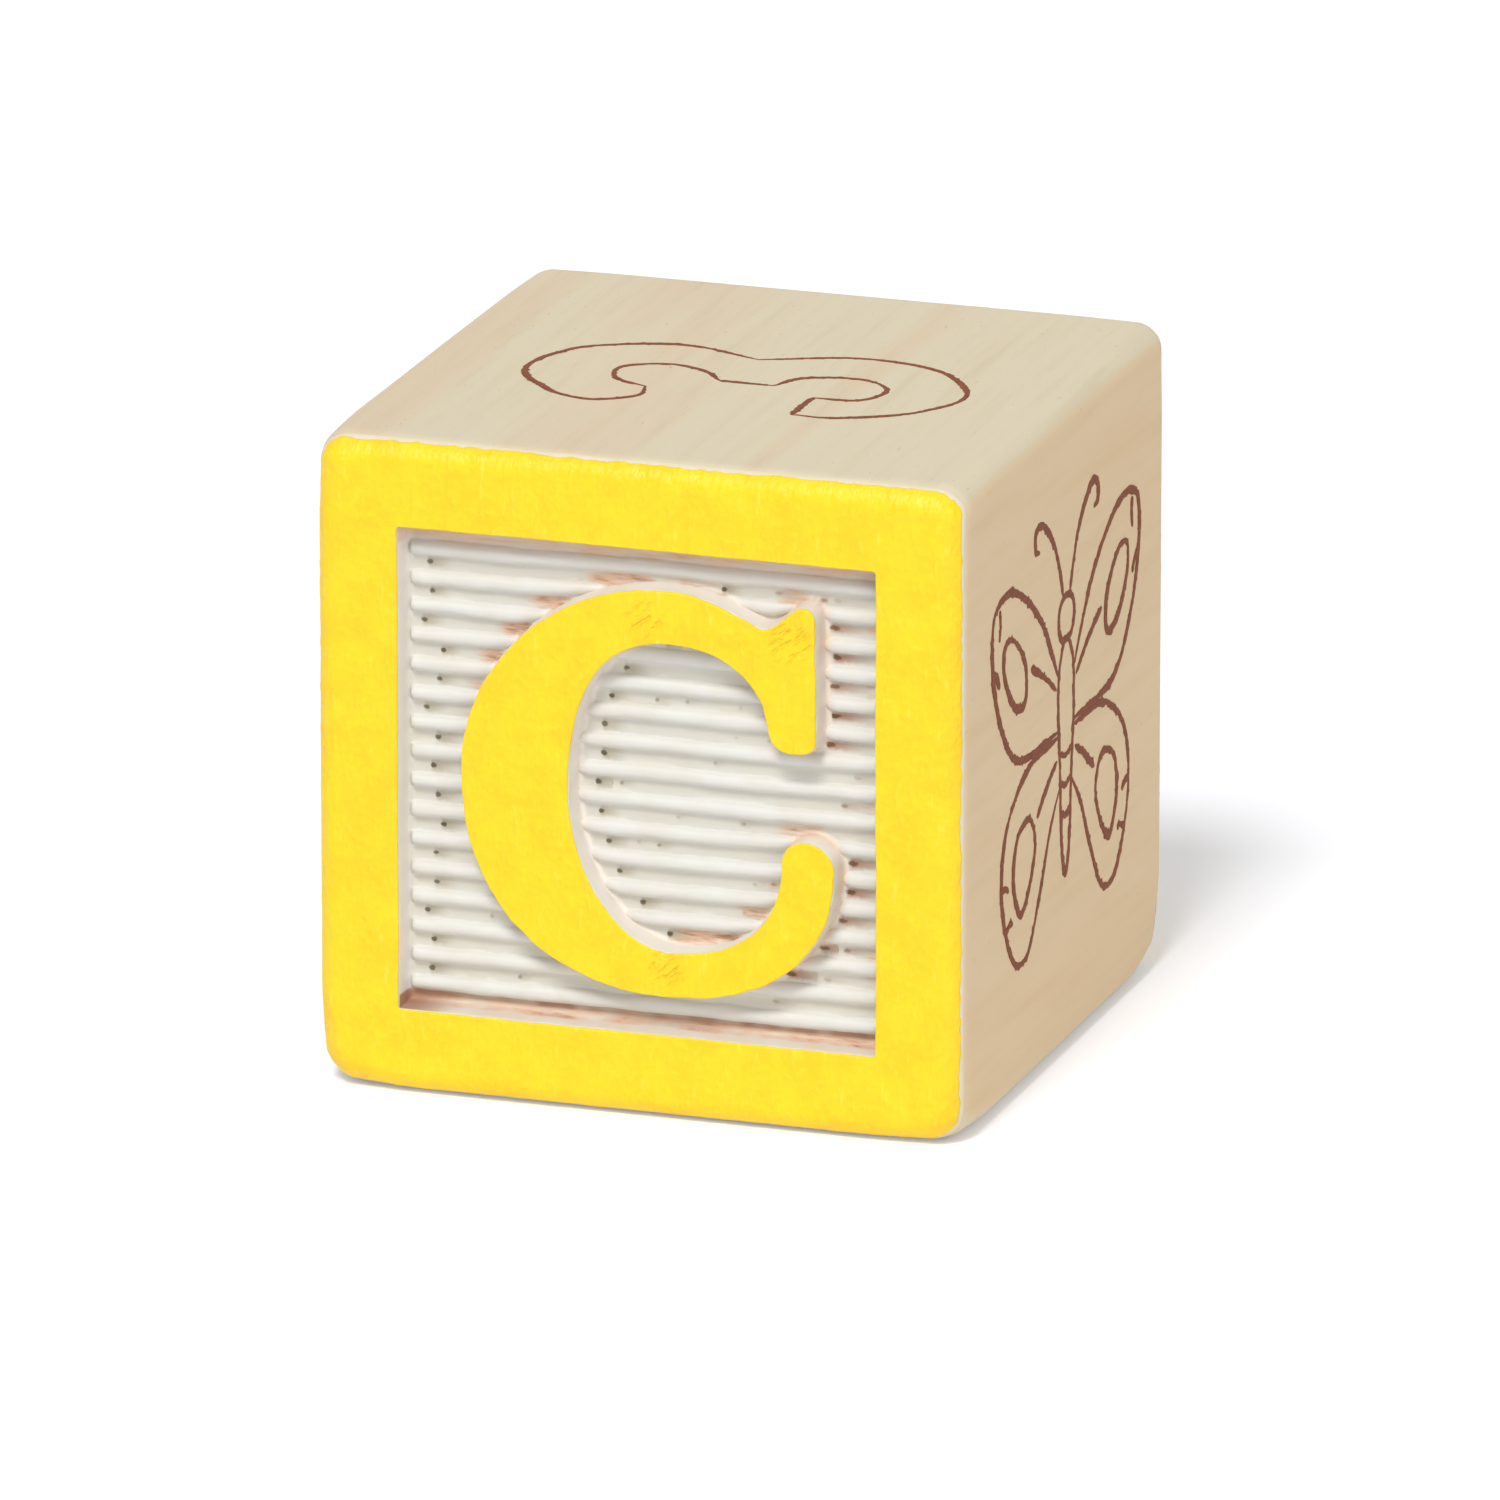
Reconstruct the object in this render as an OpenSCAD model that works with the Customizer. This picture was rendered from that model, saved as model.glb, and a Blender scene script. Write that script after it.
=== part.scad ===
// Wooden alphabet block: a solid cube of pale wood with a ribbed panel and a raised
// letter pressed into its front and its back, each under a white ground coat, with a
// yellow coat rolled on the frame and on the top of the letter.
// Front faces -Y, the base lies on Z = 0, and the block stands centred on the origin.

/* [Block] */
// Edge length of the finished cube
block_size = 25.4; // [22:0.2:45]
// Radius of the edges and corners
edge_r = 1.5; // [0.8:0.1:2.4]

/* [Pressed panel] */
// Width of the frame round the panel
frame_w = 3.375; // [2.6:0.125:5]
// Depth of the panel's floor below the frame
panel_depth = 1.2; // [0.9:0.1:2.5]

/* [Ribs] */
// Distance from one rib to the next
rib_pitch = 1.126; // [1.1:0.002:1.6]
// Width of a finished rib
rib_w = 0.6; // [0.4:0.02:0.76]
// Height of a finished rib above the floor
rib_h = 0.4; // [0.38:0.02:0.6]
// Channel between the end of a rib and the wall or letter beside it
rib_gap = 0.28; // [0.2:0.02:0.5]

/* [Letter] */
// Distance from the letter's highest point to the panel's wall
letter_margin = 1.475; // [0.8:0.025:2.6]

/* [Paint] */
// Thickness of the white ground coat
ground_coat = 0.08; // [0.04:0.01:0.12]
// Thickness of the yellow coat
colour_coat = 0.12; // [0.06:0.01:0.2]

/* [Hidden] */

// How far round the edge each coat reaches, as a share of the edge radius
ground_wrap_share = 0.65;
colour_wrap_share = 0.45;

// Cuts run past the surface that they open by this much
overrun = 1;
// Straight steps in a curve of the letter's outline: so many for a curve as long as half
// the letter's height, and never fewer than the least
curve_steps = 9;
least_steps = 3;

// Half the cube, and half the bare wood's depth between its two painted faces
mid = block_size / 2;
wood_half = mid - ground_coat - colour_coat;

// The opening in the finished panel, and the larger one pressed in the wood
panel_size = block_size - 2 * frame_w;
wood_opening = panel_size + 2 * ground_coat;
// The yellow coat raises the frame alone, so the wood is pressed less deep by that much
press_depth = panel_depth - colour_coat;

rib_count = floor(panel_size / rib_pitch);
// Radius of a rib's round top, and the height of its centre over the wood's floor
rib_r = rib_w / 2;
rib_axis = rib_h - rib_r + ground_coat;

letter_half = panel_size / 2 - letter_margin;

// The letter's outline, counterclockwise from the notch beside the upper serif.
// Each row is a curve's start and its two handles, and the curve ends where the next starts.
// Values are shares of half the letter's height, from the middle of the panel.
letter_shares = [
    [[0.598, 0.865], [0.483, 0.922], [0.318, 1]],
    [[0.153, 1], [-0.41, 1], [-0.875, 0.55]],
    [[-0.875, 0.019], [-0.875, -0.6], [-0.47, -1]],
    [[0.153, -1], [0.687, -1], [0.985, -0.712]],
    [[0.983, -0.318], [0.983, -0.235], [0.922, -0.173]],
    [[0.846, -0.173], [0.77, -0.173], [0.725, -0.223]],
    [[0.723, -0.293], [0.719, -0.636], [0.458, -0.782]],
    [[0.184, -0.779], [-0.108, -0.779], [-0.336, -0.42]],
    [[-0.336, 0], [-0.336, 0.496], [-0.153, 0.735]],
    [[0.172, 0.735], [0.471, 0.735], [0.636, 0.573]],
    [[0.655, 0.35], [0.668, 0.286], [0.712, 0.257]],
    [[0.776, 0.257], [0.859, 0.257], [0.894, 0.28]],
    [[0.894, 0.344], [0.894, 0.528], [0.894, 0.712]],
    [[0.894, 0.897], [0.894, 0.948], [0.871, 0.977]],
    [[0.833, 0.977], [0.789, 0.977], [0.757, 0.929]],
    [[0.719, 0.897], [0.681, 0.863], [0.642, 0.845]]
];

function bezier(a, b, c, d, t) =
    pow(1 - t, 3) * a + 3 * t * pow(1 - t, 2) * b + 3 * t * t * (1 - t) * c + t * t * t * d;

function closed_curve(rows) = [
    for (i = [0 : len(rows) - 1])
        let (
            row = rows[i],
            finish = rows[(i + 1) % len(rows)][0],
            steps = max(least_steps, ceil(curve_steps * norm(finish - row[0])))
        )
        for (k = [0 : steps - 1])
            bezier(row[0], row[1], row[2], finish, k / steps)
];

// Moves each point of a counterclockwise outline outwards by the distance given
function grown(points, distance) = [
    for (i = [0 : len(points) - 1])
        let (
            ahead = points[(i + 1) % len(points)],
            behind = points[(i + len(points) - 1) % len(points)],
            along = (ahead - behind) / norm(ahead - behind)
        )
        points[i] + distance * [along[1], -along[0]]
];

letter_outline = letter_half * closed_curve(letter_shares);

module letter_plan(grow) {
    polygon(grown(letter_outline, grow));
}

// A rectangle with round corners, centred
module round_plan(w, d) {
    intersection() {
        square([w, d], center = true);
        union() {
            square([w - 2 * edge_r, d], center = true);
            square([w, d - 2 * edge_r], center = true);
            for (x = [-1, 1], y = [-1, 1])
                translate([x * (w / 2 - edge_r), y * (d / 2 - edge_r)])
                    circle(r = edge_r, $fn = 48);
        }
    }
}

// The cube with round edges and ball corners, its front and back faces at half_y
module soft_cube(half_y) {
    inner = mid - edge_r;
    inner_y = half_y - edge_r;
    translate([0, 0, mid]) {
        linear_extrude(2 * inner, center = true)
            round_plan(block_size, 2 * half_y);
        rotate([90, 0, 0])
            linear_extrude(2 * inner_y, center = true)
                round_plan(block_size, block_size);
        rotate([0, 90, 0])
            linear_extrude(2 * inner, center = true)
                round_plan(block_size, 2 * half_y);
        for (x = [-inner, inner], y = [-inner_y, inner_y], z = [-inner, inner])
            translate([x, y, z])
                sphere(r = edge_r, $fn = 48);
    }
}

// Places what is drawn flat, with +Z outwards, on the wood's front face
module on_front() {
    translate([0, -wood_half, mid])
        rotate([90, 0, 0])
            children();
}

module on_back() {
    rotate([0, 0, 180])
        on_front()
            children();
}

// The panel's open space, smaller all round by the coat that lines it
module panel_hollow(coat) {
    side = wood_opening - 2 * coat;
    translate([-side / 2, -side / 2, coat - press_depth])
        cube([side, side, press_depth + overrun]);
}

// Section of a rib: straight flanks that start inside the wood, and a half-round top
module rib_section(coat) {
    r = rib_r - ground_coat + coat;
    translate([0, rib_axis])
        circle(r = r, $fn = 32);
    translate([-r, -ground_coat])
        square([2 * r, rib_axis + ground_coat]);
}

// One rib with round ends, lying along X
module rib(coat) {
    reach = panel_size / 2 - rib_gap - rib_r;
    rotate([90, 0, 90])
        linear_extrude(2 * reach, center = true)
            rib_section(coat);
    for (end = [-reach, reach])
        translate([end, 0, 0])
            rotate_extrude($fn = 32)
                intersection() {
                    rib_section(coat);
                    translate([0, -ground_coat])
                        square([rib_w, rib_h + rib_w]);
                }
}

// Ribs and letter, thicker all round by the coat that covers them
module relief(coat) {
    difference() {
        for (i = [0 : rib_count - 1])
            translate([0, (i - (rib_count - 1) / 2) * rib_pitch, -press_depth])
                rib(coat);
        translate([0, 0, -press_depth - overrun])
            linear_extrude(press_depth + 2 * overrun)
                letter_plan(rib_gap + ground_coat - coat);
    }
    translate([0, 0, -press_depth])
        linear_extrude(press_depth + coat)
            letter_plan(coat - ground_coat);
}

// A coat on the frame, between two heights above the bare wood, carried round the edges
module frame_skin(low, high, wrap) {
    difference() {
        intersection() {
            soft_cube(wood_half + high);
            translate([-block_size, -wood_half - high - overrun, -overrun])
                cube([2 * block_size, wrap + overrun, block_size + 2 * overrun]);
        }
        soft_cube(wood_half + low);
        on_front()
            panel_hollow(ground_coat);
    }
}

module ground_coat_solid() {
    frame_skin(0, ground_coat, ground_wrap_share * edge_r);
    on_front()
        difference() {
            translate([-wood_opening / 2, -wood_opening / 2, -press_depth])
                cube([wood_opening, wood_opening, press_depth + ground_coat]);
            difference() {
                panel_hollow(ground_coat);
                relief(ground_coat);
            }
            relief(0);
        }
}

module wood_block() {
    color("burlywood") {
        difference() {
            soft_cube(wood_half);
            on_front()
                panel_hollow(0);
            on_back()
                panel_hollow(0);
        }
        on_front()
            relief(0);
        on_back()
            relief(0);
    }
}

module front_ground_coat() {
    color("whitesmoke")
        ground_coat_solid();
}

module front_frame_coat() {
    color("gold")
        frame_skin(ground_coat, ground_coat + colour_coat, colour_wrap_share * edge_r);
}

module front_letter_coat() {
    color("gold")
        on_front()
            translate([0, 0, ground_coat])
                linear_extrude(colour_coat)
                    letter_plan(0);
}

module back_ground_coat() {
    rotate([0, 0, 180])
        front_ground_coat();
}

module back_frame_coat() {
    rotate([0, 0, 180])
        front_frame_coat();
}

module back_letter_coat() {
    rotate([0, 0, 180])
        front_letter_coat();
}

wood_block();
front_ground_coat();
front_frame_coat();
front_letter_coat();
back_ground_coat();
back_frame_coat();
back_letter_coat();
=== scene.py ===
import itertools
import math

import bmesh
import bpy
import numpy as np
from mathutils import Matrix, Vector
from mathutils.geometry import delaunay_2d_cdt


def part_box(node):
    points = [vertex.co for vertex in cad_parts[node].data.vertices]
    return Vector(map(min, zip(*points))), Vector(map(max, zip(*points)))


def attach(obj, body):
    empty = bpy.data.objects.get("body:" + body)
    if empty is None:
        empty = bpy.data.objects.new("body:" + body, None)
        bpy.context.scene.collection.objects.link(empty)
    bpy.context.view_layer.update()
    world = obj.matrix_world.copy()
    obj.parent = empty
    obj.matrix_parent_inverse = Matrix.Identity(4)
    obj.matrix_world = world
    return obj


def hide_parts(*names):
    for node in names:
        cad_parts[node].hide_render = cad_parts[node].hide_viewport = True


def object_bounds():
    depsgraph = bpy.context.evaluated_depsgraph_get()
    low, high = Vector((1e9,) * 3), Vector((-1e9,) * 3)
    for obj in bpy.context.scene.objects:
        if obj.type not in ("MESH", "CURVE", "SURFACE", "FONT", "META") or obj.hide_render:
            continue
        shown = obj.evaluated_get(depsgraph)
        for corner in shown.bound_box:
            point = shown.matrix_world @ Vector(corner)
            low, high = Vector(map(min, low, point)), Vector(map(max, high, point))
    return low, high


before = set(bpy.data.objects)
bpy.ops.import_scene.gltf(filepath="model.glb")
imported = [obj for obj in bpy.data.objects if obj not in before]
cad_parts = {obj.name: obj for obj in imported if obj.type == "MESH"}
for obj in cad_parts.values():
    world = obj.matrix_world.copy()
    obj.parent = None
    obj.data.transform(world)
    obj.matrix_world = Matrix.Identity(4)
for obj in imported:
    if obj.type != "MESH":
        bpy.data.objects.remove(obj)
low_corner, high_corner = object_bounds()

# Driving sizes, in millimetres from the block's middle unless said otherwise
MM = 0.001
mid = (high_corner.x - low_corner.x) / 2 / MM
middle = np.array([0, 0, mid])
wood_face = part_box("wood_block")[1].y / MM
ground_face = -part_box("front_ground_coat")[0].y / MM
colour_face = -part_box("front_frame_coat")[0].y / MM
letter_low, letter_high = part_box("front_letter_coat")
letter_half = (letter_high.z - letter_low.z) / 2 / MM
ground_coat = ground_face - wood_face
colour_coat = colour_face - ground_face

frame_width = 3.375
panel_half = mid - frame_width
panel_depth = 1.2
press_depth = panel_depth - colour_coat
pocket_half = panel_half + ground_coat

rib_count = 16
rib_pitch = 1.126
rib_width = 0.6
rib_height = 0.3
rib_drop = 0.11

edge_radius = 0.95
plain_corner = 1.2
# Share of the way to a corner where its own radius begins, and where it is reached
corner_start_share, corner_end_share = 0.68, 0.97

side_margin = 0.03
side_face = mid - side_margin
ground_reach = 2.0
colour_reach = 1.35
edge_loss_share = 0.65


# Places and noise

lattice_primes = (73856093, 19349663, 83492791)


def columns(*parts):
    """Rows of coordinates from an array, or a single number, for each direction."""
    return np.stack(np.broadcast_arrays(*parts), 1)


def hashed(cells, seed):
    """A random number from -1 to 1 for each lattice cell."""
    mixed = np.full(len(cells), seed * 7919 + 17, np.int64)
    for column, prime in zip(cells.T, lattice_primes):
        mixed = (mixed ^ (column * prime)) * 6364136223846793005 + 1442695040888963407
        mixed ^= mixed >> 29
    return (mixed & 0xFFFFFF) / 0x7FFFFF - 1


def noise(points, cell, seed):
    """Smooth noise from -1 to 1 with bumps about one cell wide."""
    grid = np.atleast_2d(points) / cell
    base = np.floor(grid).astype(np.int64)
    part = grid - base
    blend = part * part * (3 - 2 * part)
    total = np.zeros(len(grid))
    for corner in itertools.product((0, 1), repeat=grid.shape[1]):
        weight = np.prod(np.where(corner, blend, 1 - blend), axis=1)
        total += weight * hashed(base + np.array(corner), seed)
    return total


def noise_at(seed, *places):
    """Noise at places given in cells, direction by direction."""
    return noise(columns(*places), 1, seed)


def turned(points, side):
    """Points of the front face as they are for side 1, or carried to the back for side -1."""
    return points * np.array([side, side, 1])


def smooth(value, start, end):
    """0 before start, 1 after end, and an even slope between them."""
    share = np.clip((value - start) / (end - start), 0, 1)
    return share * share * (3 - 2 * share)


def window(value, start, full, last, end):
    """1 from full to last, and 0 outside start and end."""
    return smooth(value, start, full) * (1 - smooth(value, last, end))


def quarter_round(share):
    """Height of a rounded lip: 0 at its edge, for share 0, and 1 where it turns level."""
    return np.sqrt(1 - (1 - share) ** 2)


# Shape of the soft cube: each corner is rounded by its own radius

def corner_radius(points):
    """Radius of the corner in whose eighth of the block each point lies."""
    left, back, low = points[:, 0] < 0, points[:, 1] > 0, points[:, 2] < 0
    return plain_corner - 0.1 * back + 0.2 * low + 0.1 * (left & low) + 0.4 * (back & low & ~left)


def local_radius(points, nearest):
    """Radius of the edges near points, which grows from edge_radius towards the corners."""
    growth = smooth(nearest, corner_start_share, corner_end_share)
    return edge_radius + (corner_radius(points) - edge_radius) * growth


def rounded(points, half_sizes):
    """Points of a sharp box moved onto the soft one."""
    sizes = np.sort(np.abs(points) / half_sizes, axis=1)
    radius = local_radius(points, sizes[:, 0])
    core = np.clip(points, radius[:, None] - half_sizes, half_sizes - radius[:, None])
    outward = points - core
    length = np.maximum(np.linalg.norm(outward, axis=1), 1e-9)
    return core + outward * (radius / length)[:, None]


# A coat's plan is flat up to plan_flat and then bends round the edge up to mid
plan_keep = 10.0
plan_flat = 11.2


def thinning(border, reach):
    """Share of a coat's thickness left where it bends round the edges of the wood."""
    tangent = reach * np.clip((border - plan_flat) / (mid - plan_flat), 0, 1)
    return 1 - edge_loss_share * smooth(tangent, 0, colour_reach)


def skin(across, up, side, reach, lift):
    """Points of a coat on the front: plan places carried round the edges of the wood. Reach
    is the tangent of the angle at which the coat ends, and lift its height over the wood."""
    place = turned(columns(across, -1, up), side)
    radius = local_radius(place, np.minimum(np.abs(across), np.abs(up)) / mid)
    straight = side_face - radius
    flat, bend = [], []
    for value in (across, up):
        size = np.abs(value)
        stretched = (size - plan_keep) / (plan_flat - plan_keep) * (straight - plan_keep)
        outer = np.minimum(plan_keep + stretched, straight)
        flat.append(np.where(size < plan_keep, size, outer) * np.sign(value))
        bend.append(np.clip((size - plan_flat) / (mid - plan_flat), 0, None) * reach)
    share = np.maximum(*bend) / np.maximum(np.hypot(*bend), 1e-9)
    outward = columns(np.sign(across) * bend[0] * share, -1, np.sign(up) * bend[1] * share)
    outward /= np.linalg.norm(outward, axis=1)[:, None]
    core = columns(flat[0], radius - wood_face, flat[1])
    return core + outward * (radius + lift)[:, None]


# Meshes

def grid_quads(rows, per_row, ring=False, loop=False, start=0):
    """Quads between rows of points whose numbers begin at start. Each row is closed if it is
    a ring, and in a loop the last row meets the first."""
    index = start + np.arange(rows * per_row).reshape(rows, per_row)
    if ring:
        index = np.hstack([index, index[:, :1]])
    if loop:
        index = np.vstack([index, index[:1]])
    quads = np.stack([index[:-1, :-1], index[:-1, 1:], index[1:, 1:], index[1:, :-1]], -1)
    return quads.reshape(-1, 4).tolist()


def band(first, second):
    """Quads between two rings of point numbers."""
    return np.stack([first, np.roll(first, -1), np.roll(second, -1), second], 1).tolist()


def end_faces(total, count):
    """Faces over the first and the last count points of total."""
    return [list(range(count)), list(range(total - count, total))]


def new_mesh(name, points, faces):
    """A mesh from points in millimetres, its faces turned outwards."""
    mesh = bpy.data.meshes.new(name)
    mesh.from_pydata(((points + middle) * MM).tolist(), [], faces)
    work = bmesh.new()
    work.from_mesh(mesh)
    bmesh.ops.recalc_face_normals(work, faces=work.faces)
    work.to_mesh(mesh)
    work.free()
    return mesh


def new_object(name, data):
    """An object in the scene, with a mesh, a light or a camera as its data."""
    item = bpy.data.objects.new(name, data)
    bpy.context.scene.collection.objects.link(item)
    return item


def add_piece(name, mesh, material, sharp, node=None):
    """A piece that is smooth up to an angle of sharp degrees and may replace a node."""
    piece = new_object(name, mesh)
    mesh.materials.clear()
    mesh.materials.append(material)
    mesh.shade_smooth()
    mesh.set_sharp_from_angle(angle=math.radians(sharp))
    if node:
        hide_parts(node)
    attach(piece, "root")


def mesh_points(mesh):
    """A mesh's points in millimetres from the block's middle."""
    points = np.zeros(len(mesh.vertices) * 3, np.float32)
    mesh.vertices.foreach_get("co", points)
    return points.reshape(-1, 3).astype(float) / MM - middle


def store(mesh, name, values):
    """Stores a number or a place for each point under a name that a material can read."""
    kind, field = ("FLOAT", "value") if values.ndim == 1 else ("FLOAT_VECTOR", "vector")
    attribute = mesh.attributes.new(name, kind, "POINT")
    attribute.data.foreach_set(field, values.astype(np.float32).ravel())


# Outlines

def bezier(a, b, c, d, steps):
    """Points on a curve from a up to, but without, d, with the handles b and c."""
    t = np.linspace(0, 1, steps, endpoint=False)[:, None]
    return (1 - t) ** 3 * a + 3 * t * (1 - t) ** 2 * b + 3 * t * t * (1 - t) * c + t**3 * d


def spline(points, step, closed):
    """Points about a step apart along a smooth line through the points given."""
    points = np.array(points, float)
    if closed:
        padded = np.vstack([points[-1:], points, points[:2]])
    else:
        padded = np.vstack([2 * points[0] - points[1], points, 2 * points[-1] - points[-2]])
    pieces = []
    for a, b, c, d in zip(padded, padded[1:], padded[2:], padded[3:]):
        count = max(2, math.ceil(np.linalg.norm(c - b) / step))
        pieces.append(bezier(b, b + (c - a) / 6, c - (d - b) / 6, c, count))
    if not closed:
        pieces.append(points[-1:])
    return np.vstack(pieces)


def normals(path, closed=True):
    """Unit normals of a path, to the right of its direction."""
    if closed:
        along = np.roll(path, -1, 0) - np.roll(path, 1, 0)
    else:
        along = np.gradient(path, axis=0)
    along /= np.linalg.norm(along, axis=1)[:, None]
    return columns(along[:, 1], -along[:, 0])


def distance_to(outline, points):
    """Distance of each point from a closed outline, negative inside it."""
    near = np.full(len(points), np.inf)
    inside = np.zeros(len(points), bool)
    for a, b in zip(outline, np.roll(outline, -1, 0)):
        edge = b - a
        share = np.clip((points - a) @ edge / (edge @ edge), 0, 1)
        near = np.minimum(near, np.linalg.norm(points - a - share[:, None] * edge, axis=1))
        if a[1] != b[1]:
            passed = (a[1] > points[:, 1]) != (b[1] > points[:, 1])
            crossing = a[0] + (points[:, 1] - a[1]) * edge[0] / edge[1]
            inside ^= passed & (points[:, 0] < crossing)
    return np.where(inside, -near, near)


# The letter's outline: each row has the places of a curve's start and of its two handles,
# and it ends where the next starts. Values are shares of half the letter's height, from the
# panel's middle.
letter_shares = [
    [0.598, 0.865, 0.483, 0.922, 0.318, 1],
    [0.153, 1, -0.41, 1, -0.875, 0.55],
    [-0.875, 0.019, -0.875, -0.6, -0.47, -1],
    [0.153, -1, 0.687, -1, 0.985, -0.712],
    [0.983, -0.318, 0.983, -0.235, 0.922, -0.173],
    [0.846, -0.173, 0.77, -0.173, 0.725, -0.223],
    [0.723, -0.293, 0.719, -0.636, 0.458, -0.782],
    [0.184, -0.779, -0.108, -0.779, -0.336, -0.42],
    [-0.336, 0, -0.336, 0.496, -0.153, 0.735],
    [0.172, 0.735, 0.471, 0.735, 0.636, 0.573],
    [0.655, 0.35, 0.668, 0.286, 0.712, 0.257],
    [0.776, 0.257, 0.859, 0.257, 0.894, 0.28],
    [0.894, 0.344, 0.894, 0.528, 0.894, 0.712],
    [0.894, 0.897, 0.894, 0.948, 0.871, 0.977],
    [0.833, 0.977, 0.789, 0.977, 0.757, 0.929],
    [0.719, 0.897, 0.681, 0.863, 0.642, 0.845],
]


letter_step = 0.15


def letter_outline():
    rows = letter_half * np.array(letter_shares).reshape(-1, 3, 2)
    curves = []
    for row, following in zip(rows, np.roll(rows, -1, 0)):
        length = np.linalg.norm(following[0] - row[0])
        curves.append(bezier(*row, following[0], max(4, round(length / letter_step))))
    return np.vstack(curves)


letter = letter_outline()


def grown(outline, distance):
    """An outline moved outwards by a distance."""
    return outline + normals(outline) * distance


# The pressed panel

def panel_warp(points, side):
    """Small errors of the press, alike for everything on one face."""
    seed = 11 if side > 0 else 23
    shift = columns(noise(points, 3.1, seed), noise(points, 3.7, seed + 1))
    fine = columns(noise(points, 0.7, seed + 2), noise(points, 0.7, seed + 3))
    return points + 0.03 * shift + 0.012 * fine


def frame_warp(plan, side):
    """The same errors as they fade out across the frame."""
    keep = smooth(np.abs(plan).max(1), 9.6, 10.2)[:, None]
    return panel_warp(plan, side) * (1 - keep) + plan * keep


rib_end = 0.45
letter_flare = 0.1
wall_lip = 0.08
wall_draft = 0.04
wall_fillet = 0.28


def wall_depth(inward):
    """Depth of the panel's wall at a distance inwards from the opening's edge."""
    lip = wall_lip * (1 - np.sqrt(1 - np.clip((inward + wall_lip) / wall_lip, 0, 1) ** 2))
    foot = np.clip((inward - wall_draft) / wall_fillet, 0, 1)
    straight = press_depth - wall_fillet
    wall = wall_lip + (straight - wall_lip) * np.clip(inward / wall_draft, 0, 1)
    round_foot = straight + wall_fillet * quarter_round(foot)
    return np.where(inward <= 0, lip, np.where(foot > 0, round_foot, wall))


def rib_relief(points, side):
    """Height of the ribs over the panel's floor."""
    seed = 31 if side > 0 else 47
    x, z = points.T
    z = z + rib_drop
    row = np.clip(np.floor(z / rib_pitch + rib_count / 2), 0, rib_count - 1)
    along, key = x / 2.6, row * 7.3
    swing = 0.04 * noise_at(seed, along, key)
    offset = z - (row + 0.5 - rib_count / 2) * rib_pitch - swing
    width = rib_width * (1 + 0.1 * noise_at(seed + 1, x / 1.1, row * 3.7))
    from_wall = panel_half - wall_draft - np.abs(x)
    clear = np.minimum(from_wall, distance_to(letter, points) - letter_flare)
    lower_end = 0.72 + 0.12 * noise_at(seed + 2, x / 4, row * 5.1)
    past = lower_end * np.clip(1 - clear / rib_end, 0, None)
    fall = np.clip(1 - np.abs(2 * offset / width) ** 2.3 - past**2, 0, 1)
    height = rib_height * (1 + 0.1 * noise_at(seed + 3, along * 1.7, key * 1.7))
    return height * fall**0.6


def ground_depth(points, side):
    """Depth of the white ground below the frame's white surface."""
    inward = panel_half - np.abs(points).max(1)
    floor = press_depth - 0.012 * noise(points, 0.35, 61 + side)
    relief = np.where(inward > wall_draft + wall_fillet / 2, rib_relief(points, side), 0)
    return np.where(inward > -wall_lip, np.minimum(wall_depth(inward), floor - relief), 0)


def rib_lines():
    """Places across the ribs where the panel's grid has a line: close at the flanks."""
    flank = np.array([0.1, 0.26, 0.38, 0.45, 0.49, 0.53, 0.6]) * rib_width
    spots = np.concatenate([-flank[::-1], flank, [rib_pitch / 2 - 0.06, rib_pitch / 2 + 0.06]])
    rows = (np.arange(rib_count) + 0.5 - rib_count / 2) * rib_pitch - rib_drop
    lines = (rows[:, None] + spots[None, :]).ravel()
    return lines[np.abs(lines) < panel_half - wall_draft - wall_fillet - 0.05]


def ground_lines(inner):
    """Grid lines from edge to edge of the block, with the ones given inside the panel."""
    lip = panel_half + wall_lip * np.array([1, 0.7, 0.4, 0.15, 0])
    wall = panel_half - wall_draft * np.array([0.5, 1])
    foot = panel_half - wall_draft - wall_fillet * np.array([0.15, 0.4, 0.7, 1])
    bend = plan_flat + (mid - plan_flat) * np.array([0, 0.12, 0.25, 0.4, 0.55, 0.7, 0.85, 1])
    outer = np.concatenate([foot, wall, lip, [9.8, 10.4], bend])
    return np.unique(np.concatenate([-outer, inner, outer]))


# Depth of the white coat's underside in the wood, so that the two don't share a surface
skin_sink = 0.004


def perimeter(rows, per_row):
    """Point numbers round a grid's border, in order."""
    index = np.arange(rows * per_row).reshape(rows, per_row)
    return np.concatenate([index[0, :-1], index[:-1, -1], index[-1, :0:-1], index[:0:-1, 0]])


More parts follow.
